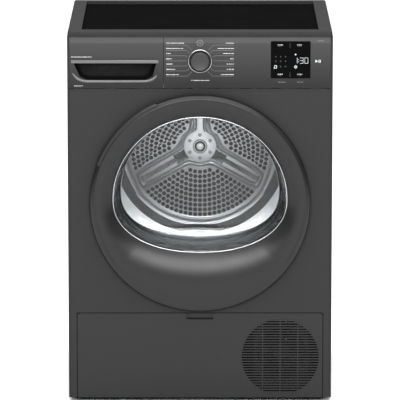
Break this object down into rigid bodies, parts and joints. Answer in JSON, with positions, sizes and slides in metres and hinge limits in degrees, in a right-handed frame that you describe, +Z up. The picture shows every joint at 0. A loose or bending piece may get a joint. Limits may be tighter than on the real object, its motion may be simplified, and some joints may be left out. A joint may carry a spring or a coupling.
{
  "type": "clothes dryer",
  "caption": "Free-standing heat pump clothes dryer: grey cabinet, round dished door with a bowl window, perforated steel drum, dial, display, water tank drawer and hinged base cover.",
  "frame": {"origin": "on the floor under the middle of the machine", "axes": "+Z up, front faces -Y, +X to the right of someone who faces the door"},
  "size_m": [0.597, 0.568, 0.85],
  "materials": {
    "body_grey": "satin grey paint",
    "moulded_grey": "satin moulded grey",
    "gloss_dark": "gloss dark",
    "inner_dark": "matt dark grey",
    "stainless": "brushed stainless",
    "bright_trim": "bright",
    "glass": "clear",
    "galvanised": "galvanised sheet",
    "light_plastic": "off white moulded",
    "clear_tank": "milky moulded",
    "rubber": "matt",
    "copper": "drawn copper tube",
    "aluminium": "fin stock",
    "cast": "black enamel",
    "board_green": "printed board"
  },
  "bodies": {
    "root": {"side_panel_left": "body_grey", "side_panel_right": "body_grey", "front_panel": "body_grey", "rear_panel": "galvanised", "rear_duct_cover": "galvanised", "cross_rails": "galvanised", "worktop_frame": "moulded_grey", "worktop_board": "gloss_dark", "base_tray": "inner_dark", "hinge_bracket": "stainless", "door_catch": "inner_dark", "front_bulkhead": "light_plastic", "lint_filter": "light_plastic", "drum_lamp": "glass", "rear_bearing": "galvanised", "roller_axles": "stainless", "drum_belt": "rubber", "drive_motor": "galvanised", "motor_bracket": "galvanised", "control_fascia": "moulded_grey", "display_window": "gloss_dark", "circuit_boards": "board_green", "knob_ring": "bright_trim", "tank_guide": "light_plastic", "evaporator": "aluminium", "condenser": "aluminium", "air_duct": "inner_dark", "exchanger_filter": "inner_dark", "compressor": "cast", "refrigerant_pipes": "copper", "cooling_fan_frame": "inner_dark", "condensate_pump": "light_plastic", "rear_outlets": "inner_dark"},
    "door": {"door_outer_ring": "moulded_grey", "door_inner_frame": "inner_dark", "door_window_trim": "bright_trim", "door_glass": "glass", "door_hinge_leaf_and_hook": "stainless"},
    "drum": {"drum_shell": "stainless", "drum_back_plate": "stainless", "drum_spider_shaft": "galvanised", "drum_hub_fasteners": "bright_trim", "drum_lifters": "light_plastic"},
    "roller_left": {"support_roller_left": "rubber"},
    "roller_right": {"support_roller_right": "rubber"},
    "motor_rotor": {"motor_pulley_shaft": "stainless"},
    "idler_lever": {"idler_arm": "galvanised"},
    "idler_wheel": {"idler_pulley": "inner_dark"},
    "dial": {"program_knob": "moulded_grey"},
    "tank_drawer": {"water_tank": "clear_tank", "tank_drawer_front": "moulded_grey", "tank_handle": "moulded_grey"},
    "process_fan": {"process_fan_wheel": "light_plastic"},
    "cooling_fan": {"cooling_fan_wheel": "inner_dark"},
    "kick_cover": {"kick_plate": "moulded_grey", "kick_grille": "moulded_grey"},
    "foot_fl": {"foot_front_left": "rubber"},
    "foot_fr": {"foot_front_right": "rubber"},
    "foot_rl": {"foot_rear_left": "rubber"},
    "foot_rr": {"foot_rear_right": "rubber"}
  },
  "joints": [
    {"name": "door_swing", "type": "hinge", "parent": "root", "child": "door", "pos_m": [0.243, -0.264, 0.461], "axis": [0, 0, 1], "range_deg": [0, 110]},
    {"name": "drum_spin", "type": "hinge", "parent": "root", "child": "drum", "pos_m": [0, 0, 0.511], "axis": [0, 1, 0], "continuous": true},
    {"name": "roller_left_spin", "type": "hinge", "parent": "root", "child": "roller_left", "pos_m": [-0.16189, -0.147, 0.25192], "axis": [0, 1, 0], "continuous": true},
    {"name": "roller_right_spin", "type": "hinge", "parent": "root", "child": "roller_right", "pos_m": [0.16189, -0.147, 0.25192], "axis": [0, 1, 0], "continuous": true},
    {"name": "motor_spin", "type": "hinge", "parent": "root", "child": "motor_rotor", "pos_m": [0.15, 0.074, 0.128], "axis": [0, 1, 0], "continuous": true},
    {"name": "idler_arm_swing", "type": "hinge", "parent": "root", "child": "idler_lever", "pos_m": [0.088, 0.09, 0.096], "axis": [0, 1, 0], "range_deg": [0, 7], "stiffness_Nm_per_rad": 1.5, "springref_deg": -14.32},
    {"name": "idler_spin", "type": "hinge", "parent": "idler_lever", "child": "idler_wheel", "pos_m": [0.088, 0.0745, 0.148], "axis": [0, 1, 0], "continuous": true},
    {"name": "dial_turn", "type": "hinge", "parent": "root", "child": "dial", "pos_m": [0, -0.26, 0.783], "axis": [0, 1, 0], "continuous": true},
    {"name": "tank_slide", "type": "slide", "parent": "root", "child": "tank_drawer", "axis": [0, -1, 0], "range_m": [0, 0.36]},
    {"name": "process_fan_spin", "type": "hinge", "parent": "root", "child": "process_fan", "pos_m": [-0.15, 0.13, 0.122], "axis": [0, 1, 0], "continuous": true},
    {"name": "cooling_fan_spin", "type": "hinge", "parent": "root", "child": "cooling_fan", "pos_m": [0.185, -0.205, 0.108], "axis": [0, 1, 0], "continuous": true},
    {"name": "kick_cover_fold", "type": "hinge", "parent": "root", "child": "kick_cover", "pos_m": [0, -0.247, 0.02], "axis": [1, 0, 0], "range_deg": [0, 85]},
    {"name": "foot_fl_screw", "type": "hinge", "parent": "root", "child": "foot_fl", "pos_m": [-0.262, -0.214, 0.01], "axis": [0, 0, 1], "continuous": true},
    {"name": "foot_fr_screw", "type": "hinge", "parent": "root", "child": "foot_fr", "pos_m": [0.262, -0.214, 0.01], "axis": [0, 0, 1], "continuous": true},
    {"name": "foot_rl_screw", "type": "hinge", "parent": "root", "child": "foot_rl", "pos_m": [-0.262, 0.236, 0.01], "axis": [0, 0, 1], "continuous": true},
    {"name": "foot_rr_screw", "type": "hinge", "parent": "root", "child": "foot_rr", "pos_m": [0.262, 0.236, 0.01], "axis": [0, 0, 1], "continuous": true}
  ],
  "couplings": [
    {"joint": "roller_left_spin", "follows": "drum_spin", "ratio": -11.708},
    {"joint": "roller_right_spin", "follows": "drum_spin", "ratio": -11.708},
    {"joint": "motor_spin", "follows": "drum_spin", "ratio": 37.424},
    {"joint": "idler_spin", "follows": "drum_spin", "ratio": 18.17}
  ]
}
